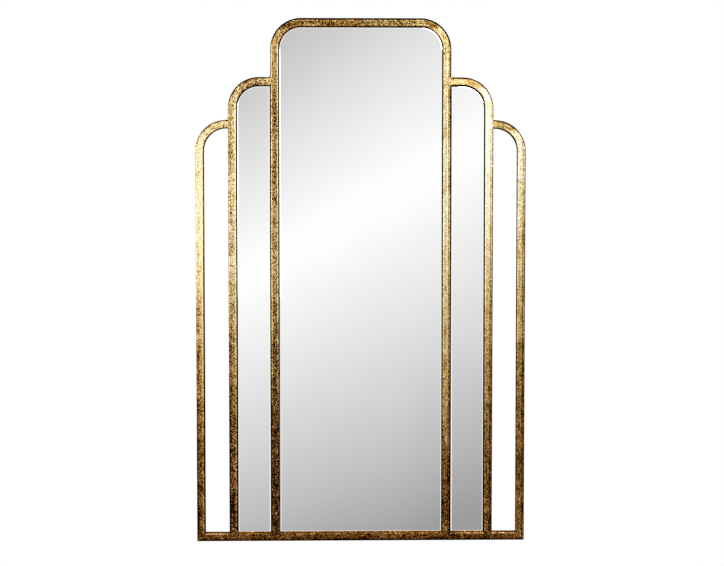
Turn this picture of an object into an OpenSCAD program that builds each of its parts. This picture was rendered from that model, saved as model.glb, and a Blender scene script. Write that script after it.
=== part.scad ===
// Stepped art deco wall mirror: a welded frame of bent square tube that holds three mirror panes.
// Millimetres, +Z up, front towards -Y. The wall is the plane Y = 0, and the origin lies on it,
// midway between the two points where the hanging rings are hooked.

/* [Frame] */
// Height of the frame
frame_h = 950; // [700:1:1400]
// Width over the two uprights of the centre arch
centre_w = 327; // [240:1:480]
// Side of the square tube
tube = 15; // [12:0.5:20]
// Wall of the tube
tube_wall = 1.2; // [1:0.1:2]
// Outside radius of the tube's long edges
tube_edge_r = 2; // [1.5:0.1:3]
// Outside radius of every bend, to the face of the tube
bend_r = 55.5; // [45:0.5:80]
// Straight run of an inner hoop, from the centre arch to its bend
inner_stub = 21; // [8:0.5:60]
// Straight run of an outer hoop, from the inner hoop to its bend
outer_stub = 3.5; // [3:0.5:60]
// Drop from the top of the centre arch to the top of the inner hoops
inner_step = 106; // [70:1:180]
// Drop from the top of the inner hoops to the top of the outer hoops
outer_step = 77; // [60:1:140]

/* [Mirror panes] */
// Thickness of the mirror glass
glass_t = 4; // [3:0.5:6]
// Gap between a pane or its board and the tubes round it
pane_gap = 0.4; // [0.3:0.1:1]
// Width of the bevel round the front of a pane
bevel_w = 2.5; // [1:0.1:6]
// Depth of the bevel
bevel_d = 0.6; // [0.3:0.1:1.5]
// Thickness of the foam tape between a pane and its board
tape_t = 1; // [0.8:0.1:2]
// Width of a strip of foam tape
tape_w = 19; // [12:1:24]
// Clear margin from the end of a strip of tape to the end of the pane
tape_margin = 30; // [15:1:60]
// Clear margin from the side of a strip of tape to the side of a side pane
tape_edge = 3; // [1:0.5:8]
// Number of tape strips behind the centre pane
centre_tapes = 4; // [2:1:6]
// Thickness of the backing boards
board_t = 6; // [4:0.5:9]

/* [Fixing tabs] */
// Thickness of a tab
tab_t = 1.5; // [1:0.1:2.5]
// Width of a tab, whose ends are round
tab_w = 12; // [10:0.5:16]
// Distance from the edge of a board to its screws
screw_inset = 7; // [5:0.5:10]
// Length of a tab's weld on the back of the tube
tab_lap = 9; // [6:0.5:11]
// Number of tabs up each upright
tab_rows = 4; // [3:1:6]
// Distance from the end of a side pane to its last tab
tab_end = 60; // [40:1:90]
// Distance from the centre line to a tab on the top bar or the bottom rail
tab_side = 80; // [60:1:100]
// Leg of the small welds along a tab
tab_weld = 1.2; // [0.8:0.1:1.5]

/* [Screws] */
// Diameter of a board screw
screw_d = 3.5; // [3:0.1:4]
// Diameter of a board screw's head
head_d = 7; // [6:0.1:8]
// Height of a screw's pan head
head_h = 2.1; // [1.6:0.1:2.6]
// Board left uncut below the tip of a board screw
tip_cover = 1; // [0.5:0.1:2]
// Added to a screw's diameter for a hole that it passes through
screw_play = 0.5; // [0.2:0.1:1]
// Diameter of a hanger screw
hang_screw_d = 2.9; // [2.5:0.1:3.3]
// Diameter of a hanger screw's head
hang_head_d = 5.6; // [5:0.1:6.5]
// Length of a hanger screw below its head
hang_screw_l = 6.5; // [5:0.5:9]

/* [Hangers and bumpers] */
// Diameter of the D ring's wire
wire_d = 2.6; // [2:0.1:3]
// Clear width inside a D ring
ring_w = 9.8; // [8:0.1:11]
// Straight side of a D ring, from its bar to its bow
ring_leg = 4; // [3:0.5:8]
// Thickness of the folded hanger strap
strap_t = 1; // [0.8:0.1:1.2]
// Clearance between the ring's bar and the fold round it, on the radius
bar_clear = 0.1; // [0.05:0.01:0.1]
// Clearance between the strap and each side of the ring
strap_side = 0.6; // [0.4:0.1:1]
// Slope of the strap where it closes under the bar, in degrees
crimp = 30; // [25:1:40]
// Clearance between the hanging ring and the strap behind it
ring_rest = 0.45; // [0.3:0.05:0.6]
// Clearance between the foot of the hanging ring and the head of the hanger screw
ring_to_screw = 1.5; // [1:0.5:3]
// Height of the bumpers, which set the frame off the wall
bumper_h = 5; // [5:0.5:8]
// Diameter of a bumper
bumper_d = 12; // [8:0.5:13]
// Radius of a bumper's rear edge
bumper_edge_r = 1.2; // [0.5:0.1:2]
// Distance from the corner of the frame to a lower bumper
bumper_end = 24; // [18:1:60]
// Distance from the start of the arch's bend down to an upper bumper
bumper_drop = 22; // [12:1:50]

/* [Welds] */
// How far a weld stands proud of the tubes
weld_h = 0.35; // [0.2:0.05:0.6]
// Width of the bead along a mitre
mitre_bead = 2.4; // [1.5:0.1:3.5]

/* [Hidden] */
// Play between parts that touch through a hole, on the radius
hole_play = 0.05;
// Overshoot of a cutting solid past the face that it cuts
over = 1;
// Least radius of the long edges inside the tube
least_edge_r = 0.3;
// Straight part of a ring's bar between the strap and the ring's corner
bar_end = 0.1;
// Distance of the centre of a fillet's round hollow from both sides of its corner, in legs
hollow_at = 1.5;
// Height of a screw head's dome and depth of its cross recess, as parts of the head's height
dome_part = 0.55;
recess_part = 0.55;
// Length and width of the cross recess, as parts of the head's diameter
recess_span = 0.6;
recess_width = 0.14;
// Turn of the cross recess in the hanger screws, in degrees
hang_screw_turn = 30;
// Flat sides to a full turn of the large bends and of the small rounds
bend_fn = 96;
$fn = 48;

half_tube = tube / 2;
tube_back = -bumper_h;
tube_mid = tube_back - half_tube;
tube_front = tube_back - tube;
bend_mid = bend_r - half_tube;
inner_edge_r = max(tube_edge_r - tube_wall, least_edge_r);

arch_x = centre_w / 2 - half_tube;
inner_face = centre_w / 2 + inner_stub + bend_r;
inner_x = inner_face - half_tube;
outer_face = inner_face + outer_stub + bend_r;
outer_x = outer_face - half_tube;
inner_top = frame_h - inner_step;
outer_top = inner_top - outer_step;

pane_low = tube + pane_gap;
pane_r = bend_r - tube - pane_gap;
centre_pane_w = centre_w - 2 * tube - 2 * pane_gap;
centre_pane_h = frame_h - tube - pane_gap - pane_low;
side_pane_x0 = centre_w / 2 + pane_gap;
side_pane_w = inner_face - tube - pane_gap - side_pane_x0;
side_pane_h = inner_top - tube - pane_gap - pane_low;
side_pane_mid = side_pane_x0 + side_pane_w / 2;

board_y = tube_back - board_t;
tape_y = board_y - tape_t;
glass_y = tape_y - glass_t;
side_tape_x = side_pane_w / 2 - tape_w / 2 - tape_edge;

weld_leg = 2 * pane_gap;
joint_len = tube - 2 * tube_edge_r;
weld_root = tube_edge_r / 2;

tab_reach = pane_gap + screw_inset;
tab_hole_d = screw_d + screw_play;
tab_pitch = (side_pane_h - 2 * tab_end) / (tab_rows - 1);
tab_z = [for (i = [0 : tab_rows - 1]) pane_low + tab_end + i * tab_pitch];
screw_l = tab_t + board_t - tip_cover;
// Places of the screws of the right half of the centre board, and of the right side board
centre_screws = concat(
  [for (z = tab_z) [centre_w / 2 - tube - tab_reach, z]],
  [[tab_side, frame_h - tube - tab_reach], [tab_side, tube + tab_reach]]
);
side_screws = concat(
  [for (z = tab_z) [centre_w / 2 + tab_reach, z]],
  [for (z = tab_z) [inner_face - tube - tab_reach, z]],
  [[side_pane_mid, tube + tab_reach]]
);

wire_r = wire_d / 2;
bow_r = ring_w / 2 + wire_r;
ring_reach = ring_leg + bow_r;
strap_w = ring_w - 2 * strap_side;
fold_r = wire_r + bar_clear;
fold_out = fold_r + strap_t;
ring_tilt = asin((2 * strap_t + wire_r + ring_rest - fold_out) / ring_reach);
strap_hole = ring_reach + wire_r + hang_head_d / 2 + ring_to_screw;
ring_z = (tab_z[tab_rows - 2] + tab_z[tab_rows - 1]) / 2;
hook_z = ring_z + ring_reach - wire_r;

gold = [0.72, 0.56, 0.32];
weld_gold = [0.80, 0.66, 0.42];
silvered = [0.86, 0.88, 0.90];
board_brown = [0.66, 0.50, 0.34];
foam_grey = [0.30, 0.31, 0.33];
zinc = [0.74, 0.75, 0.77];
black_rubber = [0.10, 0.10, 0.11];

// Puts a model whose bottom is at Z = 0 into the hanging frame
module hung() {
  translate([0, 0, -hook_z]) children();
}

// Turns an outline drawn in X and Z into a plate that starts at y and runs back by t
module plate(y, t) {
  translate([0, y + t, 0]) rotate([90, 0, 0]) linear_extrude(height = t) children();
}

// Turns a shape that stands on the XY plane along +Z so that it stands on an XZ plane along +Y
module facing_back() {
  rotate([-90, 0, 0]) children();
}

// Mirrors an outline in the direction of each negative sign
module flipped(sx, sy) {
  mirror([sx < 0 ? 1 : 0, 0]) mirror([0, sy < 0 ? 1 : 0]) children();
}

module both_sides() {
  children();
  mirror([1, 0, 0]) children();
}

// Frame of square tube

module rounded_square(side, r) {
  square([side - 2 * r, side], center = true);
  square([side, side - 2 * r], center = true);
  for (sx = [-1, 1], sy = [-1, 1])
    translate([sx * (side / 2 - r), sy * (side / 2 - r)]) circle(r = r);
}

module tube_section() {
  difference() {
    rounded_square(tube, tube_edge_r);
    rounded_square(tube - 2 * tube_wall, inner_edge_r);
  }
}

// Upright tube on centre line x, from z0 to z1
module upright(x, z0, z1) {
  translate([x, tube_mid, z0]) linear_extrude(height = z1 - z0) tube_section();
}

// Level tube on centre line z, from x0 to x1
module level_run(x0, x1, z) {
  translate([x0, tube_mid, z]) rotate([0, 90, 0]) linear_extrude(height = x1 - x0) tube_section();
}

// Quarter bend whose upright leg is on centre line x and whose top face is at z
module bend(x, z) {
  translate([x - bend_mid, tube_mid, z - bend_r]) rotate([90, 0, 0])
    rotate_extrude(angle = 90, $fn = bend_fn) translate([bend_mid, 0]) tube_section();
}

// Right half of a hoop: a level run from x0, a bend, and an upright down to z0
module hoop(x0, x, top, z0) {
  level_run(x0, x - bend_mid, top - half_tube);
  bend(x, top);
  upright(x, z0, top - bend_r);
}

// Waste beyond the 45 degree mitre at the lower right corner; up is true for the waste of the upright
module mitre_waste(up) {
  low = -over;
  high = tube + over;
  corner = up ? [outer_face - high, low] : [outer_face - low, high];
  plate(tube_front - over, tube + 2 * over)
    polygon([[outer_face - low, low], [outer_face - high, high], corner]);
}

// Hole in the back wall of the right upright for a hanger screw
module hanger_pilot() {
  translate([arch_x, tube_back - tube_wall - over, ring_z - strap_hole]) facing_back()
    cylinder(d = hang_screw_d + 2 * hole_play, h = tube_wall + 2 * over);
}

module centre_arch() {
  color(gold) hung() difference() {
    both_sides() hoop(0, arch_x, frame_h, tube);
    both_sides() hanger_pilot();
  }
}

module right_inner_hoop() {
  color(gold) hung() hoop(centre_w / 2, inner_x, inner_top, tube);
}

module left_inner_hoop() {
  mirror([1, 0, 0]) right_inner_hoop();
}

module right_outer_hoop() {
  color(gold) hung() difference() {
    hoop(inner_face, outer_x, outer_top, 0);
    mitre_waste(true);
  }
}

module left_outer_hoop() {
  mirror([1, 0, 0]) right_outer_hoop();
}

module bottom_rail() {
  color(gold) hung() difference() {
    level_run(-outer_face, outer_face, half_tube);
    both_sides() mitre_waste(false);
  }
}

// Welds

// Hollow fillet in the corner at [x, z], in the quarter that sx and sz point to
module corner_fillet(x, z, sx, sz) {
  hollow = hollow_at * weld_leg;
  hollow_r = norm([hollow - weld_leg, hollow]);
  translate([x, tube_mid + joint_len / 2, z]) rotate([90, 0, 0]) linear_extrude(height = joint_len)
    flipped(sx, sz) difference() {
      square(weld_leg);
      translate([hollow, hollow]) circle(r = hollow_r);
    }
}

// Low round bead over the line x = 0, as an outline: width w, height weld_h
module bead_section(w) {
  r = (w * w / 4 + weld_h * weld_h) / (2 * weld_h);
  intersection() {
    translate([0, weld_h - r]) circle(r = r);
    translate([-w, 0]) square([2 * w, 2 * weld_h]);
  }
}

// Section of a butt weld: it fills the groove beside the rounded edge of the tube on the -x side
module groove_section() {
  translate([-tube_edge_r / 2, 0]) bead_section(tube_edge_r + 2 * weld_h);
  difference() {
    translate([-tube_edge_r, -weld_root]) square([tube_edge_r, weld_root]);
    translate([-tube_edge_r, -tube_edge_r]) circle(r = tube_edge_r);
  }
}

// The weld of a butt joint on the front face, along Z through [x, z], with the through tube on its -X side
module front_groove_weld(x, z) {
  translate([x, tube_front, z - joint_len / 2]) linear_extrude(height = joint_len)
    mirror([0, 1]) groove_section();
}

// All welds of one butt joint at [x, z]: front, back and both corners, the through tube on the -X side
module side_joint(x, z) {
  front_groove_weld(x, z);
  translate([0, 2 * tube_mid, 0]) mirror([0, 1, 0]) front_groove_weld(x, z);
  corner_fillet(x, z + half_tube, 1, 1);
  corner_fillet(x, z - half_tube, 1, -1);
}

// The same for an upright that stands on the bottom rail at x
module foot_joint(x) {
  translate([x, 0, tube]) rotate([0, -90, 0]) {
    front_groove_weld(0, 0);
    translate([0, 2 * tube_mid, 0]) mirror([0, 1, 0]) front_groove_weld(0, 0);
  }
  corner_fillet(x + half_tube, tube, 1, 1);
  corner_fillet(x - half_tube, tube, -1, 1);
}

module joint_welds() {
  color(weld_gold) hung() both_sides() {
    side_joint(centre_w / 2, inner_top - half_tube);
    side_joint(inner_face, outer_top - half_tube);
    foot_joint(arch_x);
    foot_joint(inner_x);
  }
}

// Bead along the mitre of the lower right corner, on the front face
module mitre_bead_front() {
  run = joint_len * sqrt(2);
  translate([outer_x, tube_front, half_tube]) rotate([0, -45, 0]) translate([0, 0, -run / 2])
    linear_extrude(height = run) mirror([0, 1]) bead_section(mitre_bead);
}

module mitre_welds() {
  color(weld_gold) hung() both_sides() {
    mitre_bead_front();
    translate([0, 2 * tube_mid, 0]) mirror([0, 1, 0]) mitre_bead_front();
    corner_fillet(outer_face - tube, tube, -1, 1);
  }
}

// Fixing tabs, which lie on the back of the tubes

// Level tab with a round end: it overlaps an upright tube by lap and reaches dir * tab_reach beyond its face
module level_tab(face, z, dir, lap) {
  plate(tube_back, tab_t) translate([face, z]) flipped(dir, 1) difference() {
    union() {
      translate([-lap, -tab_w / 2]) square([lap + tab_reach, tab_w]);
      translate([tab_reach, 0]) circle(d = tab_w);
    }
    translate([tab_reach, 0]) circle(d = tab_hole_d);
  }
}

// Upright tab over a level tube, reaching dir * tab_reach beyond its face, to a round end
module upright_tab(x, face, dir) {
  plate(tube_back, tab_t) translate([x, face]) flipped(1, dir) difference() {
    union() {
      translate([-tab_w / 2, -tab_lap]) square([tab_w, tab_lap + tab_reach]);
      translate([0, tab_reach]) circle(d = tab_w);
    }
    translate([0, tab_reach]) circle(d = tab_hole_d);
  }
}

// Each tab of the arch holds the centre board on one side of the upright and the side board on the other
module right_arch_tabs() {
  color(gold) hung() for (z = tab_z) {
    level_tab(centre_w / 2 - tube, z, -1, half_tube);
    level_tab(centre_w / 2, z, 1, half_tube);
  }
}

module left_arch_tabs() {
  mirror([1, 0, 0]) right_arch_tabs();
}

module right_hoop_tabs() {
  color(gold) hung() for (z = tab_z) level_tab(inner_face - tube, z, -1, tab_lap);
}

module left_hoop_tabs() {
  mirror([1, 0, 0]) right_hoop_tabs();
}

module top_tabs() {
  color(gold) hung() both_sides() upright_tab(tab_side, frame_h - tube, -1);
}

module rail_tabs() {
  color(gold) hung() both_sides() for (x = [tab_side, side_pane_mid]) upright_tab(x, tube, 1);
}

// Fillet along X beside a tab's edge at height z, from x0 to x1
module level_tab_weld(x0, x1, z, dir) {
  translate([x0, tube_back, z]) rotate([90, 0, 90]) linear_extrude(height = x1 - x0)
    flipped(1, dir) polygon([[0, 0], [tab_weld, 0], [0, tab_weld]]);
}

// Fillet along Z beside a tab's edge at x, from z0 to z1
module upright_tab_weld(x, z0, z1, dir) {
  translate([x, tube_back, z0]) linear_extrude(height = z1 - z0)
    flipped(dir, 1) polygon([[0, 0], [tab_weld, 0], [0, tab_weld]]);
}

module tab_welds() {
  hoop_face = inner_face - tube;
  top_face = frame_h - tube;
  color(weld_gold) hung() both_sides() {
    for (z = tab_z, dir = [-1, 1]) {
      level_tab_weld(arch_x - joint_len / 2, arch_x + joint_len / 2, z + dir * tab_w / 2, dir);
      level_tab_weld(hoop_face + tube_edge_r, hoop_face + tab_lap, z + dir * tab_w / 2, dir);
    }
    for (dir = [-1, 1]) {
      upright_tab_weld(tab_side + dir * tab_w / 2, top_face + tube_edge_r, top_face + tab_lap, dir);
      for (x = [tab_side, side_pane_mid])
        upright_tab_weld(x + dir * tab_w / 2, tube - tab_lap, tube - tube_edge_r, dir);
    }
  }
}

// Mirror panes

// Outline of a pane with its foot on z = 0, its left edge on x = 0 and the radii r0 and r1 at the top corners
module pane_outline(w, h, r0, r1) {
  difference() {
    square([w, h]);
    if (r0 > 0) translate([0, h - r0]) difference() {
      translate([-over, 0]) square([r0 + over, r0 + over]);
      translate([r0, 0]) circle(r = r0, $fn = bend_fn);
    }
    if (r1 > 0) translate([w - r1, h - r1]) difference() {
      square([r1 + over, r1 + over]);
      circle(r = r1, $fn = bend_fn);
    }
  }
}

// What a bevel cuts off, as an outline: x is the distance in from the edge, y the depth from the front
module bevel_waste() {
  reach = bevel_w * (1 + over / bevel_d);
  polygon([[-over, -over], [reach, -over], [-over, bevel_d * (1 + over / bevel_w)]]);
}

// Bevel cutter along +Z for an edge on x = 0 that runs from z0 to z1, with the pane towards +X
module bevel_upright(z0, z1) {
  translate([0, 0, z0]) linear_extrude(height = z1 - z0) bevel_waste();
}

// Bevel cutter for a round top right corner of radius r about the origin
module bevel_corner(r) {
  rotate([90, 0, 0]) rotate_extrude(angle = 90, $fn = bend_fn) translate([r, 0]) rotate(180) bevel_waste();
}

module bevel_cutter(w, h, r0, r1) {
  end0 = r0 > 0 ? h - r0 : h + over;
  end1 = r1 > 0 ? h - r1 : h + over;
  bevel_upright(-over, end0);
  translate([w, 0, 0]) mirror([1, 0, 0]) bevel_upright(-over, end1);
  rotate([0, 90, 0]) mirror([1, 0, 0]) bevel_upright(-over, w + over);
  translate([0, 0, h]) rotate([0, 90, 0]) bevel_upright(r0 > 0 ? r0 : -over, r1 > 0 ? w - r1 : w + over);
  if (r0 > 0) translate([r0, 0, h - r0]) mirror([1, 0, 0]) bevel_corner(r0);
  if (r1 > 0) translate([w - r1, 0, h - r1]) bevel_corner(r1);
}

// Glass pane with a bevelled front, its foot and left edge at the origin
module pane(w, h, r0, r1) {
  translate([0, glass_y, 0]) difference() {
    plate(0, glass_t) pane_outline(w, h, r0, r1);
    bevel_cutter(w, h, r0, r1);
  }
}

module centre_mirror() {
  color(silvered) hung() translate([-centre_pane_w / 2, 0, pane_low])
    pane(centre_pane_w, centre_pane_h, pane_r, pane_r);
}

module right_mirror() {
  color(silvered) hung() translate([side_pane_x0, 0, pane_low]) pane(side_pane_w, side_pane_h, 0, pane_r);
}

module left_mirror() {
  mirror([1, 0, 0]) right_mirror();
}

// Foam tape

// Strip of tape on the centre line x behind a pane whose height is h
module tape_strip(x, h) {
  plate(tape_y, tape_t) translate([x - tape_w / 2, pane_low + tape_margin])
    square([tape_w, h - 2 * tape_margin - pane_r]);
}

module centre_foam_tape() {
  half_span = centre_pane_w / 2 - tape_margin;
  color(foam_grey) hung() for (i = [0 : centre_tapes - 1])
    tape_strip(-half_span + i * 2 * half_span / (centre_tapes - 1), centre_pane_h);
}

module right_foam_tape() {
  color(foam_grey) hung() for (dir = [-1, 1]) tape_strip(side_pane_mid + dir * side_tape_x, side_pane_h);
}

module left_foam_tape() {
  mirror([1, 0, 0]) right_foam_tape();
}

// Backing boards and their screws

// Blind pilot hole in a board, open at its back
module pilot_hole(place) {
  translate([place[0], tube_back - board_t + tip_cover / 2, place[1]]) facing_back()
    cylinder(d = screw_d + 2 * hole_play, h = board_t);
}

module centre_backing_board() {
  color(board_brown) hung() difference() {
    translate([-centre_pane_w / 2, 0, pane_low])
      plate(board_y, board_t) pane_outline(centre_pane_w, centre_pane_h, pane_r, pane_r);
    both_sides() for (place = centre_screws) pilot_hole(place);
  }
}

module right_backing_board() {
  color(board_brown) hung() difference() {
    translate([side_pane_x0, 0, pane_low])
      plate(board_y, board_t) pane_outline(side_pane_w, side_pane_h, 0, pane_r);
    for (place = side_screws) pilot_hole(place);
  }
}

module left_backing_board() {
  mirror([1, 0, 0]) right_backing_board();
}

// Pan head screw along Z: the underside of its head is on Z = 0 and its shank points down
module screw(d, head, length) {
  dome = dome_part * head_h;
  dome_r = (head * head / 4 + dome * dome) / (2 * dome);
  point = d / 2;
  tip_r = d / 6;
  span = recess_span * head;
  width = recess_width * head;
  difference() {
    rotate_extrude() {
      translate([0, point - length]) square([d / 2, length - point]);
      polygon([[0, -length], [tip_r, -length], [d / 2, point - length], [0, point - length]]);
      intersection() {
        square([head / 2, head_h]);
        translate([0, head_h - dome_r]) circle(r = dome_r, $fn = bend_fn);
      }
    }
    for (turn = [0, 90]) rotate(turn) translate([-span / 2, -width / 2, head_h * (1 - recess_part)])
      cube([span, width, head_h]);
  }
}

// A board screw at a place on the back of a tab, turned by its height so that the recesses don't line up
module board_screw(place) {
  translate([place[0], tube_back + tab_t, place[1]]) facing_back() rotate(place[1])
    screw(screw_d, head_d, screw_l);
}

module centre_board_screws() {
  color(zinc) hung() both_sides() for (place = centre_screws) board_screw(place);
}

module right_board_screws() {
  color(zinc) hung() for (place = side_screws) board_screw(place);
}

module left_board_screws() {
  mirror([1, 0, 0]) right_board_screws();
}

// Hangers

// Side view of the folded strap: x is the distance from the back of the tube, y the height over the bar
module strap_profile() {
  foot = -strap_hole - strap_w / 2;
  down = [-sin(crimp), -cos(crimp)];
  spoke = [cos(crimp), -sin(crimp)];
  hub = [fold_out, 0];
  outer = hub + fold_out * spoke;
  inner = hub + fold_r * spoke;
  outer_foot = outer + down * (outer[0] - 2 * strap_t) / sin(crimp);
  inner_foot = inner + down * (inner[0] - strap_t) / sin(crimp);
  difference() {
    union() {
      polygon([[0, foot], [2 * strap_t, foot], outer_foot, outer, hub, [0, 0]]);
      translate(hub) circle(r = fold_out);
    }
    translate(hub) circle(r = fold_r);
    polygon([hub, inner, inner_foot, [strap_t, 0]]);
  }
}

module right_hanger_strap() {
  color(zinc) hung() translate([arch_x, tube_back, ring_z]) difference() {
    intersection() {
      translate([-strap_w / 2, 0, 0]) rotate([90, 0, 90]) linear_extrude(height = strap_w) strap_profile();
      plate(-over, 2 * fold_out + 2 * over) {
        translate([-strap_w / 2, -strap_hole]) square([strap_w, strap_hole + 2 * fold_out]);
        translate([0, -strap_hole]) circle(d = strap_w);
      }
    }
    translate([0, -over, -strap_hole]) facing_back()
      cylinder(d = hang_screw_d + screw_play, h = 2 * strap_t + 2 * over);
  }
}

module left_hanger_strap() {
  mirror([1, 0, 0]) right_hanger_strap();
}

// Half of a D ring that hangs from the origin: half of its bar, a corner, a straight side and half its bow
module half_ring() {
  corner = bow_r - strap_w / 2 - bar_end;
  rotate([0, 90, 0]) cylinder(r = wire_r, h = bow_r - corner);
  translate([bow_r - corner, 0, -corner]) rotate([90, 0, 0])
    rotate_extrude(angle = 90) translate([corner, 0]) circle(r = wire_r);
  translate([bow_r, 0, -ring_leg]) cylinder(r = wire_r, h = ring_leg - corner);
  translate([0, 0, -ring_leg]) rotate([-90, 0, 0])
    rotate_extrude(angle = 90, $fn = bend_fn) translate([bow_r, 0]) circle(r = wire_r);
}

// The ring hangs a little out from the wall side of its strap, on which it rests
module right_d_ring() {
  color(zinc) hung() translate([arch_x, tube_back + fold_out, ring_z]) rotate([ring_tilt, 0, 0])
    both_sides() half_ring();
}

module left_d_ring() {
  mirror([1, 0, 0]) right_d_ring();
}

module right_hanger_screw() {
  color(zinc) hung() translate([arch_x, tube_back + 2 * strap_t, ring_z - strap_hole])
    facing_back() rotate(hang_screw_turn) screw(hang_screw_d, hang_head_d, hang_screw_l);
}

module left_hanger_screw() {
  mirror([1, 0, 0]) right_hanger_screw();
}

// Bumpers

// Bumper at [x, z] on the back of the frame, up to the wall
module bumper(x, z) {
  r = bumper_d / 2;
  edge = bumper_edge_r;
  color(black_rubber) hung() translate([x, tube_back, z]) facing_back() rotate_extrude() {
    square([r - edge, bumper_h]);
    square([r, bumper_h - edge]);
    translate([r - edge, bumper_h - edge]) circle(r = edge);
  }
}

module lower_right_bumper() {
  bumper(outer_face - bumper_end, half_tube);
}

module lower_left_bumper() {
  bumper(bumper_end - outer_face, half_tube);
}

module upper_right_bumper() {
  bumper(arch_x, frame_h - bend_r - bumper_drop);
}

module upper_left_bumper() {
  bumper(-arch_x, frame_h - bend_r - bumper_drop);
}

centre_arch();
left_inner_hoop();
right_inner_hoop();
left_outer_hoop();
right_outer_hoop();
bottom_rail();
joint_welds();
mitre_welds();
left_arch_tabs();
right_arch_tabs();
left_hoop_tabs();
right_hoop_tabs();
top_tabs();
rail_tabs();
tab_welds();
centre_mirror();
left_mirror();
right_mirror();
centre_foam_tape();
left_foam_tape();
right_foam_tape();
centre_backing_board();
left_backing_board();
right_backing_board();
centre_board_screws();
left_board_screws();
right_board_screws();
left_hanger_strap();
right_hanger_strap();
left_d_ring();
right_d_ring();
left_hanger_screw();
right_hanger_screw();
lower_left_bumper();
lower_right_bumper();
upper_left_bumper();
upper_right_bumper();
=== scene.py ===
"""Looks of the stepped art deco wall mirror, in its CAD model's frame: metres, +Z up, front towards -Y."""

import math

import bmesh
import bpy
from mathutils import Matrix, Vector


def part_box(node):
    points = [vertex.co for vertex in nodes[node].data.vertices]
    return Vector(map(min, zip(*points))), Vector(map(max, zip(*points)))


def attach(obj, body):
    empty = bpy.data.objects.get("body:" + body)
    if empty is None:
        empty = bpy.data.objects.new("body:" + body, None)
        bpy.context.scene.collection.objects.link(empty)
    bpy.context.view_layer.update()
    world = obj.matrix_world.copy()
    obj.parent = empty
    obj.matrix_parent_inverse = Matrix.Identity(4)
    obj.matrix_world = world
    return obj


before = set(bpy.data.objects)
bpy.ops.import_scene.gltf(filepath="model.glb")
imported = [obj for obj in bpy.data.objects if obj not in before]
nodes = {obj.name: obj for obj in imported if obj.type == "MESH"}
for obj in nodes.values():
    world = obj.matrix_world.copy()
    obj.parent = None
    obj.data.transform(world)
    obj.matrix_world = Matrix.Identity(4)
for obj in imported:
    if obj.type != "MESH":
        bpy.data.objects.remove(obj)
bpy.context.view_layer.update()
scene = bpy.context.scene

# Places taken from the frame: the foot, the top and the front
foot_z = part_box("bottom_rail")[0].z
crown_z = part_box("centre_arch")[1].z
front_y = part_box("centre_arch")[0].y
# How far the outer side of each upright is from the middle
arch_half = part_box("centre_arch")[1].x
inner_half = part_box("right_inner_hoop")[1].x
outer_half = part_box("bottom_rail")[1].x
# Tops of the hoops, and the side of the square tube
inner_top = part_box("left_inner_hoop")[1].z
outer_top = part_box("left_outer_hoop")[1].z
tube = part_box("bottom_rail")[1].z - foot_z

# Outside radius of the bends, as in the CAD model
BEND = 0.0555

# Hollow weld fillets over the hoops' upper corners: their reach out and up, how far they sink into the
# tubes and stop short of their front and back, and the degrees between two points of the hollow
FILLET_WIDE = 0.0050
FILLET_HIGH = 0.0085
FILLET_ROOT = 0.0003
FILLET_INSET = 0.0018
FILLET_STEP = 10

# Photograph's width in pixels, and the camera that was fitted to its straight edges
PHOTO_WIDTH = 724
FOCAL_PIXELS = 1500
SENSOR = 36.0
CAMERA_RIGHT = -0.058
CAMERA_BACK = 2.7198
CAMERA_OVER_FOOT = 0.6006
CAMERA_DOWN = math.radians(2.703)
CAMERA_TURN = math.radians(1.263)

# Strength of the even fill that matt surfaces get from the world, and the one that looks white
FILL = 0.45
WHITE_GLOW = 1.0
# The two square lamps: power, side, place, and the point that each is aimed at
KEY_WATTS = 15.0
KEY_SIZE = 0.9
KEY_PLACE = (0.75, -1.25, 0.85)
KEY_AIM = (0.05, 0.0, 0.12)
LEFT_WATTS = 2.0
LEFT_SIZE = 0.7
LEFT_PLACE = (-0.85, -1.25, 0.05)
LEFT_AIM = (-0.29, 0.0, -0.1)

# The floor: how far it lies under the mirror's foot, its radius, the parts of the radius over which it melts
# into the white, the sides of its circle, its tones, how much darker its rim is, and its own light
FLOOR_DROP = 1.0
FLOOR_RADIUS = 3.0
FLOOR_RIM = (0.45, 0.97)
FLOOR_SEGMENTS = 96
FLOOR_TONES = (0.80, 0.84)
FLOOR_RIM_DARKER = 0.82
FLOOR_GLOW = 0.62

# The soft card that the mirror panes show. Its tone fans out from a point low on the left, given as
# slopes of the direction across and up from straight ahead; CARD holds (slope seen from that point, tone
# as displayed).
FAN_ACROSS = -0.750
FAN_UP = -0.441
CARD = [
    (0.28, 0.64), (0.34, 0.755), (0.45, 0.89), (0.56, 1.0),
    (0.585, 1.0), (0.65, 0.932), (0.74, 0.82), (0.80, 0.75),
]
# Slopes across and up over which the card's low right corner darkens, and its tone there
CORNER_ACROSS = (0.04, 0.09)
CORNER_UP = (-0.05, -0.17)
CORNER_TONE = 0.92
# Slopes over which the card gives way to the room at its sides, its top and its foot
CARD_SIDES = (0.16, 0.38)
CARD_TOP = (0.20, 0.40)
CARD_FOOT = (-0.28, -0.45)
# Slopes up over which the room brightens from its tone below to white
ROOM_BRIGHTENS = (-1.2, -0.3)
ROOM_BELOW = 0.55
# Least length that a slope is worked out over, and least height over a bend's centre for an angle round it
NEAREST = 0.05
TINY = 0.00001

# Antique gold as displayed, from bare leaf to the darkest glaze and painted shade, as (amount of glaze and
# painted shade, colour)
LEAF = [
    (0.00, (1.00, 0.97, 0.84)),
    (0.16, (0.945, 0.82, 0.575)),
    (0.37, (0.775, 0.61, 0.345)),
    (0.57, (0.58, 0.415, 0.17)),
    (0.78, (0.365, 0.22, 0.05)),
    (0.88, (0.25, 0.13, 0.015)),
    (1.00, (0.085, 0.025, 0.003)),
]
# Least glaze and painted shade that the lower parts keep, and the amounts of glaze over which it covers the
# metal
LOWEST_GLAZE_AND_SHADE = 0.14
COVERING_GLAZE = (0.65, 0.90)
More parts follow.
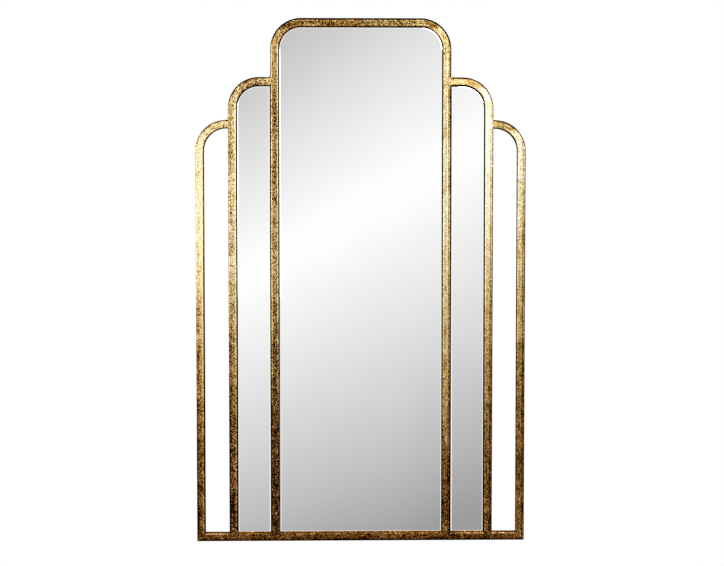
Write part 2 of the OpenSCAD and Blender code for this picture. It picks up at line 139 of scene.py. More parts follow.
# The painted highlight tint's part at the barest leaf, the amounts over which it grows to its full part, and
# those over which it ends
PALE_AT_BAREST = 0.45
PALE_GROWS = (0.02, 0.22)
PALE_ENDS = (0.55, 0.70)
# Factors on the leaf's colour: the usual one at the foot, and the one that keeps it
FOOT_TINT = (1.02, 0.90, 0.95)
NO_TINT = (1.0, 1.0, 1.0)

# How dark each bar is by height, as (height from 0 to 1, amount): umber glaze gathered towards the foot,
# together with painted shade that darkens the foot and painted light that brightens the upper right. The
# arch has a run for each side, and RUN_TURN is the x where its top changes from the left one to the right
# one.
RUN_TURN = 0.11
RUN_ARCH_LEFT = [
    (0.0, 0.88), (0.14, 0.93), (0.28, 0.80), (0.4, 0.74),
    (0.52, 0.47), (0.64, 0.56), (0.88, 0.61), (1.0, 0.48),
]
RUN_ARCH_RIGHT = [
    (0.0, 0.73), (0.12, 0.74), (0.28, 0.40), (0.45, 0.31),
    (0.58, 0.14), (0.72, 0.22), (0.88, 0.39), (1.0, 0.40),
]
RUN_INNER_LEFT = [
    (0.0, 0.93), (0.10, 0.92), (0.24, 0.63), (0.38, 0.60),
    (0.47, 0.36), (0.58, 0.20), (0.70, 0.22), (0.80, 0.28),
]
RUN_INNER_RIGHT = [(0.0, 0.72), (0.10, 0.76), (0.22, 0.62), (0.4, 0.39), (0.57, 0.12), (0.63, 0.0)]
RUN_OUTER_LEFT = [
    (0.0, 0.84), (0.10, 0.92), (0.24, 0.76), (0.36, 0.57),
    (0.45, 0.34), (0.57, 0.12), (0.66, 0.02),
]
RUN_OUTER_RIGHT = [
    (0.0, 0.62), (0.12, 0.73), (0.28, 0.59), (0.42, 0.45),
    (0.50, 0.31), (0.56, 0.29), (0.64, 0.09),
]
RUN_RAIL = [(0.0, 0.775), (1.0, 0.775)]
RUN_BACK = [(0.0, 0.80), (0.3, 0.55), (0.6, 0.35), (1.0, 0.35)]

# Heights, from 0 at the foot to 1 at the top, over which something changes: the foot's tint ends, the least
# glaze and painted shade ends, bright flakes grow, the wear changes, the painted highlight tint starts, the
# painted shade and highlight lines along the edges and their upper kind start, the painted highlight lines
# grow, and the painted shade of the side faces grows
FOOT_TINT_ENDS = (0.08, 0.36)
LOWEST_GLAZE_AND_SHADE_ENDS = (0.30, 0.60)
FLAKES_GROW = (0.10, 0.55)
WEAR_CHANGES = (0.30, 0.70)
PALE_STARTS = (0.56, 0.72)
LINES_START = (0.10, 0.40)
UPPER_LINES_START = (0.15, 0.40)
BRIGHT_LINES_GROW = (0.18, 0.45)
SIDE_SHADE_GROWS = (0.15, 0.45)

# Widths of what shows in the leaf: patches of glaze, blotches, grain, pits, flakes, brush strokes and
# weld waves
PATCH_SIZE = 0.045
BLOTCH_SIZE = 0.010
GRAIN_SIZE = 0.0019
PIT_SIZE = 0.0026
FLAKE_SIZE = 0.0025
STROKE_SIZE = 0.0022
LUMP_SIZE = 0.0035
# Levels of the noise over which pits and flakes show, and what a patch adds to that noise
PITS_SHOW = (0.61, 0.68)
FLAKES_SHOW = (0.62, 0.69)
PITS_BY_PATCH = 0.04
FLAKES_BY_PATCH = -0.02
# What the marks add to the glaze; flakes are bright, and go from their first value low down to their
# second higher up
BLOTCH_GLAZE = 0.05
GRAIN_GLAZE = 0.44
PIT_GLAZE = 0.65
FLAKE_GLAZE = (-0.25, -0.55)
STROKE_GLAZE = 0.13
# Part of the speckle that shows on the faces turned to the back
BACK_SPECKLE = 0.45
# How far a face is turned to the front, from 1 to -1, where the full speckle gives way to that part, and
# where a tube's face starts to be a side face and is one
SPECKLE_FACING = (0.2, -0.8)
SIDE_FACING = (0.80, 0.45)
# Roughness of the bare and the fully glazed leaf, and the part of the grain in it
LEAF_ROUGH = (0.30, 0.62)
GRAIN_ROUGH = 0.05
# Colour of the leaf's gleam at a grazing angle
GRAZING_TINT = (0.3, 0.2, 0.1)
# Depth of the leaf's relief, and what blotches, grain and pits add to it
LEAF_RELIEF = 0.00045
BLOTCH_RELIEF = 0.22
GRAIN_RELIEF = 0.14
PIT_RELIEF = -0.3
# Painted shade that the side faces of a tube get next to its front and behind
SIDE_SHADE = (0.55, 0.12)
# Height of a bent tube's level top run, and of the change under it, in widths of the tube
CROWN_HIGH = 1.0
CROWN_FADE = 0.6

# Change of the glaze across a tube, as (millimetres in from a long edge, change): a painted shade line along
# the edge, and inside it a painted highlight line. EDGE_REACH is how far in they reach.
EDGE_REACH = 0.008
HIGHLIGHTED_EDGE = [(0.0, 0.9), (1.7, 0.9), (2.1, -0.45), (4.2, -0.40), (5.4, -0.06), (8.0, 0.0)]
PANE_EDGE = [(0.0, 0.85), (0.8, 0.85), (1.2, -0.45), (2.8, -0.45), (4.0, -0.04), (8.0, 0.0)]
BRIGHT_EDGE = [(0.0, 0.85), (1.2, 0.85), (1.5, -0.50), (2.8, -0.50), (3.4, 0.0)]
SOFT_EDGE = [(0.0, 0.6), (0.3, 0.4), (0.8, -0.12), (2.3, -0.12), (3.2, 0.0)]
LIT_EDGE = [(0.0, 0.55), (1.8, 0.35), (3.6, 0.05), (5.0, 0.0)]
SUN_EDGE = [(0.0, 0.20), (1.2, 0.02), (2.6, 0.02), (3.3, 0.16), (4.9, 0.14), (6.0, 0.02), (8.0, 0.0)]
THIN_EDGE = [(0.0, 0.8), (1.8, 0.75), (2.6, 0.25), (3.6, 0.0)]
CROWN_EDGE = [(0.0, 0.8), (2.6, 0.7), (3.6, -0.15), (5.0, -0.15), (6.0, 0.0)]
LEFT_UNDER = [(0.0, 0.4), (0.8, 0.3), (1.6, 0.15), (3.2, 0.12), (4.2, 0.0)]
CROWN_UNDER = [(0.0, 0.0), (0.8, 0.0), (1.4, -0.12), (4.0, -0.10), (5.5, 0.0)]
RIGHT_UNDER = [(0.0, 0.8), (1.2, 0.75), (1.9, 0.06), (3.6, 0.04), (6.0, 0.0)]
LIPPED_EDGE = [
    (0.0, 0.9), (1.9, 0.85), (2.5, 0.05), (3.4, 0.05), (4.0, 0.34),
    (5.2, 0.30), (5.7, -0.25), (7.2, -0.25), (8.0, 0.0),
]
RAIL_TOP_EDGE = [(0.0, 0.1), (0.5, 0.1), (1.0, -0.22), (2.8, -0.22), (3.8, 0.08), (5.0, 0.0)]
RAIL_FOOT_EDGE = [(0.0, 0.4), (1.5, 0.4), (4.0, 0.10), (8.0, 0.0)]
ROUND_EDGE = [(0.0, 0.9), (1.6, 0.8), (2.3, 0.10), (3.3, 0.10), (3.9, 0.42), (5.1, 0.38), (6.0, 0.0)]
# Strength of the rail's painted highlight lines in the middle, and what the left and right ends add
RAIL_HIGHLIGHTS = (0.6, 1.6, 1.0)
# Depths behind the front over which the outer painted lines end, the inner painted lines weaken to
# INNER_LINES_BEHIND, and the rail's painted lines and the painted shade of the side faces end
OUTER_LINES_END = (0.0015, 0.0035)
INNER_LINES_FADE = (0.008, 0.012)
INNER_LINES_BEHIND = 0.2
NEAR_FRONT_ENDS = (0.003, 0.006)
# Half the width over which a left and a right look change into each other, and the one at a joint's edge
SIDE_BLEND = 0.02
JOINT_BLEND = 0.0006

# Where a pane's face starts to be its silvered front and is one, and the same for its painted back
SILVER_FACING = (0.80, 0.86)
PAINT_FACING = (-0.4, -0.6)
# Colours of the small parts, from their darker to their lighter tone where there are two
GLASS_EDGE = ((0.20, 0.30, 0.26), (0.34, 0.44, 0.40))
BACK_PAINT = ((0.26, 0.27, 0.28), (0.34, 0.35, 0.36))
BOARD_FIBRES = ((0.36, 0.235, 0.135), (0.54, 0.39, 0.25))
BOARD_CLOUDS = (0.42, 0.30, 0.19)
BOARD_SPECKS = (0.13, 0.075, 0.04)
FOAM_CELLS = ((0.035, 0.036, 0.04), (0.10, 0.10, 0.11))
ZINC_BLOOM = ((0.46, 0.47, 0.50), (0.53, 0.50, 0.42))
ZINC_SPOTS = (0.28, 0.28, 0.28)
RUBBER_BLACK = (0.022, 0.022, 0.024)
RUBBER_DUST = (0.10, 0.098, 0.092)
BLACK = (0.0, 0.0, 0.0)
PURE_WHITE = (1.0, 1.0, 1.0)


def linear(tone):
    """Light that displays as this tone, both from 0 to 1"""
    return ((tone + 0.055) / 1.055) ** 2.4


class Graph:
    """Short calls that add nodes to one node tree. A value is a number, a colour or a node's output."""

    def __init__(self, tree):
        self.tree = tree
        tree.nodes.clear()

    def add(self, kind, **settings):
        node = self.tree.nodes.new(kind)
        for key, value in settings.items():
            setattr(node, key, value)
        return node

    def feed(self, socket, value):
        if isinstance(value, bpy.types.NodeSocket):
            self.tree.links.new(value, socket)
        elif socket.type == "RGBA" and len(value) == 3:
            socket.default_value = (*value, 1.0)
        else:
            socket.default_value = value

    def math(self, operation, *values, clamp=False):
        node = self.add("ShaderNodeMath", operation=operation, use_clamp=clamp)
        for socket, value in zip(node.inputs, values):
            self.feed(socket, value)
        return node.outputs[0]

    def plus(self, *values):
        total = values[0]
        for value in values[1:]:
            total = self.math("ADD", total, value)
        return total

    def minus(self, a, b):
        return self.math("SUBTRACT", a, b)

    def times(self, a, b):
        return self.math("MULTIPLY", a, b)

    def larger(self, a, b):
        return self.math("MAXIMUM", a, b)

    def smaller(self, a, b):
        return self.math("MINIMUM", a, b)

    def unsigned(self, value):
        return self.math("ABSOLUTE", value)

    def fade(self, factor, a, b):
        """Number a where factor is 0, and b where it is 1"""
        return self.plus(self.times(a, self.minus(1.0, factor)), self.times(b, factor))

    def span(self, value, low, high, to_low=0.0, to_high=1.0, smooth=True):
        """value from low..high to to_low..to_high, and clamped there"""
        node = self.add("ShaderNodeMapRange")
        node.interpolation_type = "SMOOTHSTEP" if smooth else "LINEAR"
        for socket, number in zip(node.inputs, (value, low, high, to_low, to_high)):
            self.feed(socket, number)
        return node.outputs[0]

    def waves(self, noise, half, high=1.0, smooth=True):
        """Noise from 0.5 - half..0.5 + half to -high..high"""
        return self.span(noise, 0.5 - half, 0.5 + half, -high, high, smooth)

    def mix(self, factor, a, b):
        """Colour a where factor is 0, and b where it is 1"""
        node = self.add("ShaderNodeMix", data_type="RGBA")
        self.feed(node.inputs["Factor"], factor)
        self.feed(node.inputs[6], a)
        self.feed(node.inputs[7], b)
        return node.outputs[2]

    def ramp(self, factor, stops):
        """Colour ramp; stops is a list of (position, colour)"""
        node = self.add("ShaderNodeValToRGB")
        elements = node.color_ramp.elements
        while len(elements) < len(stops):
            elements.new(0.5)
        for element, (position, colour) in zip(elements, stops):
            element.position = position
            element.color = (*colour, 1.0)
        self.feed(node.inputs[0], factor)
        return node.outputs[0]

    def curve(self, factor, stops):
        """Number from 0 to 1 that follows stops, a list of (position, number)"""
        return self.ramp(factor, [(position, (number,) * 3) for position, number in stops])

    def scaled(self, vector, factors):
        node = self.add("ShaderNodeVectorMath", operation="MULTIPLY")
        self.feed(node.inputs[0], vector)
        self.feed(node.inputs[1], factors)
        return node.outputs[0]

    def rays(self):
        """Two numbers: 1 for the rays straight from the camera, and 1 for those by way of metal or glass"""
        path = self.add("ShaderNodeLightPath")
        mirrored = self.larger(path.outputs["Is Glossy Ray"], path.outputs["Is Transmission Ray"])
        return path.outputs["Is Camera Ray"], mirrored


class Finish(Graph):
    """A material with one surface shader.

    place, x, y and z are a point's place, and facing_front goes from 1, turned to the front, to -1, turned
    to the back."""

    def __init__(self, name):
        self.material = bpy.data.materials.new(name)
        self.material.use_nodes = True
        super().__init__(self.material.node_tree)
        out = self.add("ShaderNodeOutputMaterial")
        self.shader = self.add("ShaderNodeBsdfPrincipled")
        self.feed(out.inputs["Surface"], self.shader.outputs[0])
        point = self.add("ShaderNodeTexCoord")
        self.place = point.outputs["Object"]
        self.x, self.y, self.z = self.parts(self.place)
        self.facing_front = self.times(self.parts(point.outputs["Normal"])[1], -1.0)

    def parts(self, vector):
        node = self.add("ShaderNodeSeparateXYZ")
        self.feed(node.inputs[0], vector)
        return node.outputs

    def set(self, **inputs):
        """Sets the shader's inputs; a name's underscores stand for spaces"""
        for name, value in inputs.items():
            self.feed(self.shader.inputs[name.replace("_", " ")], value)
        return self.material

    def noise(self, size, detail=3.0, roughness=0.5, distortion=0.0, stretch=None, place=None):
        """Noise from 0 to 1 about 0.5, whose largest features are about size metres wide"""
        place = place or self.place
        if stretch:
            place = self.scaled(place, stretch)
        node = self.add("ShaderNodeTexNoise")
        self.feed(node.inputs["Vector"], place)
        node.inputs["Scale"].default_value = 1.0 / size
        node.inputs["Detail"].default_value = detail
        node.inputs["Roughness"].default_value = roughness
        node.inputs["Distortion"].default_value = distortion
        return node.outputs[0]

    def cells(self, size):
        """Distance from the middle of cells about size metres wide"""
        node = self.add("ShaderNodeTexVoronoi")
        self.feed(node.inputs["Vector"], self.place)
        node.inputs["Scale"].default_value = 1.0 / size
        return node.outputs["Distance"]

    def bump(self, relief, depth):
        """Normal of a surface whose relief, from 0 to 1, is depth metres deep"""
        node = self.add("ShaderNodeBump")
        node.inputs["Strength"].default_value = 1.0
        node.inputs["Distance"].default_value = depth
        self.feed(node.inputs["Height"], relief)
        return node.outputs[0]

    def right_side(self, turn=0.0):
        """1 on the right of x = turn, 0 on the left of it"""
        return self.span(self.x, turn - SIDE_BLEND, turn + SIDE_BLEND)

    def by_side(self, values, turn=0.0):
        """values has one value, or a left and a right one, which change over near x = turn"""
        if len(values) == 1:
            return values[0]
        return self.fade(self.right_side(turn), *values)

    def behind(self, depths, near=1.0, far=0.0):
        """near down to the first of two depths behind the front, and far from the second on"""
        return self.span(self.y, front_y + depths[0], front_y + depths[1], near, far)

    def inside(self, value, middle, half):
        """1 where value lies within half of middle, 0 outside"""
        away = self.unsigned(self.minus(value, middle))
        return self.span(away, half - JOINT_BLEND, half + JOINT_BLEND, 1.0, 0.0)

    def from_bend(self, box):
        """How far a point lies beside and above the centres of the two round top corners of a box"""
        beside = self.minus(self.unsigned(self.x), half_width(box) - BEND)
        above = self.minus(self.z, box[1].z - BEND)
        return beside, above

    def from_outline(self, box):
        """Depth inside the outline of a box with two round top corners"""
        beside, above = self.from_bend(box)
        squares = [self.math("POWER", self.larger(part, 0.0), 2.0) for part in (beside, above)]
        round_part = self.math("SQRT", self.plus(*squares))
        flat_part = self.smaller(self.larger(beside, above), 0.0)
        return self.minus(BEND, self.plus(round_part, flat_part))

    def along(self, box):
        """Coordinates that follow a bent tube: depth from its outer side, length along it, and y"""
        beside, above = self.from_bend(box)
        turned = self.math("ARCTAN2", self.larger(beside, 0.0), self.larger(above, TINY))
        length = self.plus(
            self.smaller(beside, 0.0),
            self.times(turned, BEND - tube / 2),
            self.times(self.smaller(above, 0.0), -1.0),
        )
        vector = self.add("ShaderNodeCombineXYZ")
        self.feed(vector.inputs[0], self.from_outline(box))
        self.feed(vector.inputs[1], length)
        # The two halves are set apart, so that their strokes aren't mirror images
        apart = self.times(self.math("SIGN", self.x), half_width(box))
        self.feed(vector.inputs[2], self.plus(self.y, apart))
        return vector.outputs[0]


class Gold(Finish):
    """Gold leaf over steel under an umber glaze.

    The amount of glaze, which also carries painted shade and painted highlights, goes from 0, bare leaf, to
    1, the darkest, and level from 0 at the foot to 1 at the top. patches, blotches and grain go from -1 to
    1, and pits from 0 to 1."""

    def __init__(self, name):
        super().__init__(name)
        self.level = self.span(self.z, foot_z, crown_z, smooth=False)
        self.patches = self.waves(self.noise(PATCH_SIZE, roughness=0.6), 0.15)
        self.blotches = self.waves(self.noise(BLOTCH_SIZE, roughness=0.6, distortion=0.6), 0.18)
        self.grain = self.waves(self.noise(GRAIN_SIZE, detail=1.5, roughness=0.6), 0.22, smooth=False)
        pitting = self.noise(PIT_SIZE, detail=1.5, distortion=0.8)
        self.pits = self.span(self.plus(pitting, self.times(self.patches, PITS_BY_PATCH)), *PITS_SHOW)

    def rising(self, levels, low=0.0, high=1.0):
        """low up to the first of two levels, and high from the second on"""
        return self.span(self.level, *levels, low, high)

    def run(self, runs):
        """Glaze and painted shade by height, darker towards the foot: one list, or one left and one right of
        the middle
        """
        return self.by_side([self.curve(self.level, stops) for stops in runs], RUN_TURN)

    def speckle(self, wear):
        """Grain, pits and bright flakes. wear is their strength at the foot and at the top, by side."""
        flaking = self.noise(FLAKE_SIZE, detail=1.5, distortion=0.8, stretch=(1.2, 1.2, 1.0))
        flakes = self.span(self.plus(flaking, self.times(self.patches, FLAKES_BY_PATCH)), *FLAKES_SHOW)
        marks = self.plus(
            self.times(self.grain, GRAIN_GLAZE),
            self.times(self.pits, PIT_GLAZE),
            self.times(flakes, self.rising(FLAKES_GROW, *FLAKE_GLAZE)),
        )
        strength = self.by_side([self.rising(WEAR_CHANGES, *ends) for ends in wear], RUN_TURN)
        facing = self.span(self.facing_front, *SPECKLE_FACING, 1.0, BACK_SPECKLE)
        return self.times(self.times(marks, strength), facing)

    def strokes(self, box):
        """Brush strokes along a bent tube"""
        place = self.along(box)
        noise = self.noise(STROKE_SIZE, detail=2.0, roughness=0.6, stretch=(1.0, 0.07, 1.0), place=place)
        return self.waves(noise, 0.20, STROKE_GLAZE)

    def side_shade(self, sides, foot_sides):
        """Painted shade on the faces that are turned from the front and the back, added to the glaze; a
        negative strength paints them lighter. sides is its strength, and foot_sides the part of it at the
        foot."""
        side = self.span(self.unsigned(self.facing_front), *SIDE_FACING)
        depth = self.behind(NEAR_FRONT_ENDS, *(sides * part for part in SIDE_SHADE))
        return self.times(self.times(side, self.rising(SIDE_SHADE_GROWS, foot_sides, 1.0)), depth)

    def crown_darkening(self, box, crown):
        """Darker tone over a bent tube's level top run"""
        full_z = box[1].z - CROWN_HIGH * tube
        return self.span(self.z, full_z - CROWN_FADE * tube, full_z, 0.0, crown)

    def edge_change(self, distance, stops, bright):
        """Change of the glaze at a distance from a long edge, which paints shade and highlight lines. bright
        is the strength of its painted highlight lines.
        """
        at = self.span(distance, 0.0, EDGE_REACH, smooth=False)
        coded = self.curve(at, [(0.001 * mm / EDGE_REACH, 0.5 + 0.5 * change) for mm, change in stops])
        change = self.minus(self.times(coded, 2.0), 1.0)
        return self.plus(self.larger(change, 0.0), self.times(self.smaller(change, 0.0), bright))

    def colour(self, amount, tints, pale):
        """Colour of the glazed leaf. tints are factors on it at the foot and above, with a third one for the
        right side above if it differs, and pale is the tint of a painted highlight on the thinly glazed leaf
        high on the right."""
        leaf = self.ramp(amount, [(at, tuple(linear(tone) for tone in tones)) for at, tones in LEAF])
        upper = self.mix(self.right_side(), tints[1], tints[-1])
        tinted = self.scaled(leaf, self.mix(self.rising(FOOT_TINT_ENDS), tints[0], upper))
        # Painted highlight: a pale tint on the thinly glazed leaf high on the right
        highlight_by_amount = self.times(
            self.span(amount, *PALE_GROWS, PALE_AT_BAREST, 1.0),
            self.span(amount, *PALE_ENDS, 1.0, 0.0),
        )
        highlight_part = self.times(self.times(highlight_by_amount, self.rising(PALE_STARTS)), self.right_side())
        return self.scaled(tinted, self.mix(highlight_part, NO_TINT, pale))

    def relief(self, lumps):
        """Relief of the leaf, with lumps for the waves of a ground weld"""
        relief = self.plus(
            self.times(self.blotches, BLOTCH_RELIEF),
            self.times(self.grain, GRAIN_RELIEF),
            self.times(self.pits, PIT_RELIEF),
        )
        if lumps:
            relief = self.plus(relief, self.times(self.noise(LUMP_SIZE, detail=1.0), lumps))
        return relief


def half_width(box):
    """How far the outer side of a box is from the middle of the mirror"""
    return max(box[1].x, -box[0].x)


def gilded(g, runs, box=None, lines=None, glaze=0.0, crown=0.0, sides=1.0, foot_sides=1.0,
           wear=((1.0, 1.0),), patches=0.035, tints=(FOOT_TINT, NO_TINT), pale=NO_TINT, dull=0.0, lumps=0.0):
    """Sets up a Gold material and returns it.

    runs are how the glaze and painted shade darken by height, box is a bent tube's box, along which the leaf
    is brushed, and lines is the change of the glaze by the painted shade and highlight lines along a tube's
    edges. glaze darkens the whole piece, crown a bent tube's top run, and sides and foot_sides paint shade
    on the side faces. wear is the strength of the speckle, and patches that of the wide patches of glaze.
    tints colour the leaf and pale tints a painted highlight on it, dull takes off the shine, and lumps adds
    the waves of a ground weld."""
    texture = g.plus(g.times(g.patches, patches), g.times(g.blotches, BLOTCH_GLAZE), g.speckle(wear))
    if box:
        texture = g.plus(texture, g.strokes(box))
    # Glaze and painted shade by height, the marks of the leaf, and the piece's own glaze
    amount = g.plus(g.run(runs), texture, glaze)
    # Painted shade and highlight lines along the tube's edges
    if lines:
        amount = g.plus(amount, lines)
    # Darker tone over the level top run
    if crown:
        amount = g.plus(amount, g.crown_darkening(box, crown))
    # Painted shade on the side faces
    amount = g.plus(amount, g.side_shade(sides, foot_sides))
    amount = g.larger(amount, g.rising(LOWEST_GLAZE_AND_SHADE_ENDS, LOWEST_GLAZE_AND_SHADE, 0.0))
    return g.set(
        Base_Color=g.colour(amount, tints, pale),
        Metallic=g.span(amount, *COVERING_GLAZE, 1.0, 0.0),
        Roughness=g.plus(g.span(amount, 0.0, 1.0, *LEAF_ROUGH), g.times(g.grain, GRAIN_ROUGH), dull),
        Specular_IOR_Level=0.0,
        Specular_Tint=GRAZING_TINT,
        Normal=g.bump(g.relief(lumps), LEAF_RELIEF),
    )


def hoop_lines(g, box, outer, inner, top, under, joint_top=None, upper=None, foot=(1.0, 1.0),
               bright_foot=0.6):
    """Change of the glaze by the painted shade and highlight lines along the edges of a bent tube.

    outer and inner are the changes from its two long edges: one list, or one for each side of the middle.
    top and under are the same round the bends, and upper is the outer one above the foot. joint_top is the
    top of the hoop that is welded to its outer side. foot is the strength that is left of the outer and the
    inner lines at the foot, and bright_foot that of the bright ones."""
    bright = g.rising(BRIGHT_LINES_GROW, bright_foot, 1.0)
    from_outside = g.from_outline(box)
    from_inside = g.minus(tube, from_outside)
    outside = g.by_side([g.edge_change(from_outside, stops, bright) for stops in outer])
    inside = g.by_side([g.edge_change(from_inside, stops, bright) for stops in inner])
    if upper:
        outside = g.fade(g.rising(UPPER_LINES_START), outside, g.edge_change(from_outside, upper, 1.0))
    outside = g.times(outside, g.rising(LINES_START, foot[0], 1.0))
    inside = g.times(inside, g.rising(LINES_START, foot[1], 1.0))
    bend = g.span(g.z, box[1].z - BEND, box[1].z - 0.5 * BEND)
    outside = g.fade(bend, outside, g.edge_change(from_outside, top, 1.0))
    inside = g.fade(bend, inside, g.edge_change(from_inside, under, 1.0))
    if joint_top is not None:
        outside = g.times(outside, g.minus(1.0, g.inside(g.z, joint_top - tube / 2, tube / 2)))
    outside = g.times(outside, g.behind(OUTER_LINES_END))
    inside = g.times(inside, g.behind(INNER_LINES_FADE, 1.0, INNER_LINES_BEHIND))
    return g.plus(inside, outside)


def rail_lines(g):
    """Change of the glaze by the painted shade and highlight lines along the rail's edges. The upper ones
    stop where an upright stands.
    """
    across = g.unsigned(g.x)
    uprights = [g.inside(across, side - tube / 2, tube / 2) for side in (arch_half, inner_half, outer_half)]
    middle, left, right = RAIL_HIGHLIGHTS
    bright = g.plus(
        middle,
        g.span(g.x, arch_half, arch_half + tube, 0.0, right),
        g.span(g.x, -inner_half, -inner_half - tube, 0.0, left),
    )
    upper = g.edge_change(g.minus(foot_z + tube, g.z), RAIL_TOP_EDGE, bright)
    lower = g.edge_change(g.minus(g.z, foot_z), RAIL_FOOT_EDGE, 1.0)
    change = g.plus(g.times(upper, g.minus(1.0, g.plus(*uprights))), lower)
    return g.times(change, g.behind(NEAR_FRONT_ENDS))


def mirror_glass():
    """Silvered glass: the front and its bevel mirror, the cut edges are green, and the back is painted"""
    g = Finish("silvered_glass")
    silver = g.span(g.noise(size=0.09, detail=2.0), 0.3, 0.7, 0.980, 0.992)
    tint = g.mix(silver, BLACK, PURE_WHITE)
    front = g.span(g.facing_front, *SILVER_FACING)
    edge = g.mix(g.noise(size=0.004, detail=2.0), *GLASS_EDGE)
    paint = g.mix(g.noise(size=0.0012), *BACK_PAINT)
    cut = g.mix(g.span(g.facing_front, *PAINT_FACING), edge, paint)
    return g.set(
        Base_Color=g.mix(front, cut, tint),
        Metallic=front,
        Roughness=g.span(front, 0.0, 1.0, 0.45, 0.0),
    )


def fibreboard():
    """Raw medium density fibreboard: short fibres, dark specks and a sanded face"""
    g = Finish("fibreboard")
    fibres = g.noise(size=0.0022, detail=4.0, roughness=0.7, distortion=2.0, stretch=(1.0, 1.0, 0.45))
    cloud = g.noise(size=0.05)
    specks = g.span(g.noise(size=0.0011, detail=2.0), 0.66, 0.74)
    base = g.mix(g.span(fibres, 0.3, 0.7), *BOARD_FIBRES)
    toned = g.mix(g.span(cloud, 0.3, 0.7, 0.0, 0.4), base, BOARD_CLOUDS)
    colour = g.mix(g.times(specks, 0.7), toned, BOARD_SPECKS)
    sanding = g.noise(size=0.0006, detail=2.0, stretch=(1.0, 1.0, 0.06))
    relief = g.plus(g.times(fibres, 0.6), g.times(sanding, 0.4))
    return g.set(
        Base_Color=colour,
        Roughness=g.span(fibres, 0.3, 0.7, 0.72, 0.88),
        Normal=g.bump(relief, depth=0.00012),
    )


def foam():
    """Dark closed-cell foam"""
    g = Finish("foam")
    cell = g.cells(size=0.0007)
    return g.set(
        Base_Color=g.mix(g.span(cell, 0.1, 0.6), *FOAM_CELLS),
        Roughness=g.span(cell, 0.0, 0.7, 0.95, 0.8),
        Normal=g.bump(cell, depth=0.0002),
    )


def zinc(name, rough):
    """Zinc plate with its faint straw and blue bloom, fine scratches and dull spots"""
    g = Finish(name)
    bloom = g.noise(size=0.006)
    straw = g.mix(g.span(bloom, 0.35, 0.65), *ZINC_BLOOM)
    spots = g.span(g.noise(size=0.0009, detail=2.0), 0.6, 0.75)
    scratches = g.noise(size=0.0007, detail=2.0, stretch=(1.0, 1.0, 0.08))
    return g.set(
        Base_Color=g.mix(g.times(spots, 0.5), straw, ZINC_SPOTS),
        Metallic=1.0,
        Roughness=g.plus(g.span(bloom, 0.3, 0.7, rough - 0.05, rough + 0.07), g.times(spots, 0.2)),
        Normal=g.bump(scratches, depth=0.00005),
    )


def rubber():
    """Matt black rubber with a moulded grain and a little dust"""
    g = Finish("matt_rubber")
    grain = g.noise(size=0.0006, detail=2.0)
    dust = g.span(g.noise(size=0.003, detail=4.0, roughness=0.7), 0.5, 0.75, 0.0, 0.5)
    return g.set(
        Base_Color=g.mix(dust, RUBBER_BLACK, RUBBER_DUST),
        Roughness=g.span(grain, 0.3, 0.7, 0.62, 0.8),
        Normal=g.bump(grain, depth=0.0001),
    )


def link_piece(name, shape):
    """Object made of a bmesh"""
    mesh = bpy.data.meshes.new(name)
    shape.to_mesh(mesh)
    shape.free()
    piece = bpy.data.objects.new(name, mesh)
    scene.collection.objects.link(piece)
    return piece


def add_fillet(shape, side, face_x, corner_z):
    """Adds the fillet in the corner over a hoop's top and beside the tube that the hoop is welded to"""
    turns = [math.radians(at) for at in range(0, 91, FILLET_STEP)]
    hollow = [(FILLET_WIDE * (1 - math.sin(turn)), FILLET_HIGH * (1 - math.cos(turn))) for turn in turns]
    low_end = (FILLET_WIDE, -FILLET_ROOT)
    high_end = (-FILLET_ROOT, FILLET_HIGH)
    outline = [(-FILLET_ROOT, -FILLET_ROOT), low_end, *hollow, high_end]
    depths = (front_y + FILLET_INSET, front_y + tube - FILLET_INSET)
    front, back = [
        [shape.verts.new((side * (face_x + out), y, corner_z + up)) for out, up in outline] for y in depths
    ]
    shape.faces.new(front)
    shape.faces.new(back[::-1])
    for index in range(len(outline)):
        follow = (index + 1) % len(outline)
        shape.faces.new((front[follow], front[index], back[index], back[follow]))


def drawn_fillets():
    """The four hollow fillets that the welder drew out over the hoops' upper corners"""
    shape = bmesh.new()
    for side in (-1, 1):
        add_fillet(shape, side, arch_half, inner_top)
        add_fillet(shape, side, inner_half, outer_top)
    bmesh.ops.recalc_face_normals(shape, faces=shape.faces)
    piece = link_piece("drawn_fillets", shape)
    piece.data.materials.append(gilded(Gold("gold_fillets"), [RUN_BACK], glaze=-0.22, lumps=0.4))
    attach(piece, "frame")


def dress(material, *endings):
    """Gives a material to every node whose name ends in one of these ways"""
    for name, node in nodes.items():
        if name.endswith(endings):
            slots = node.data.materials
            for index in range(len(slots)):
                slots[index] = material


def dress_hoop(name, runs, edges, **finish):
    """Gilds a bent tube; edges holds what hoop_lines takes"""
    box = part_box(name)
    g = Gold("gold_" + name)
    dress(gilded(g, runs, box, hoop_lines(g, box, **edges), **finish), name)


def dress_arch():
    """The centre arch, whose left upright is darker than its right one, by glaze and painted shade"""
    dress_hoop(
        "centre_arch",
        [RUN_ARCH_LEFT, RUN_ARCH_RIGHT],
        {
            "outer": [BRIGHT_EDGE, LIPPED_EDGE],
            "inner": [BRIGHT_EDGE, SOFT_EDGE],
            "top": CROWN_EDGE,
            "under": CROWN_UNDER,
            "joint_top": inner_top,
            "bright_foot": 0.1,
        },
        crown=0.20,
        sides=0.45,
        wear=[(1.2, 1.0), (0.8, 0.5)],
        patches=0.045,
        tints=((1.0, 0.92, 1.05), (1.01, 0.985, 0.93), (0.975, 1.015, 1.02)),
        # Tint of the painted highlight high on the right
        pale=(0.94, 1.06, 1.26),
    )


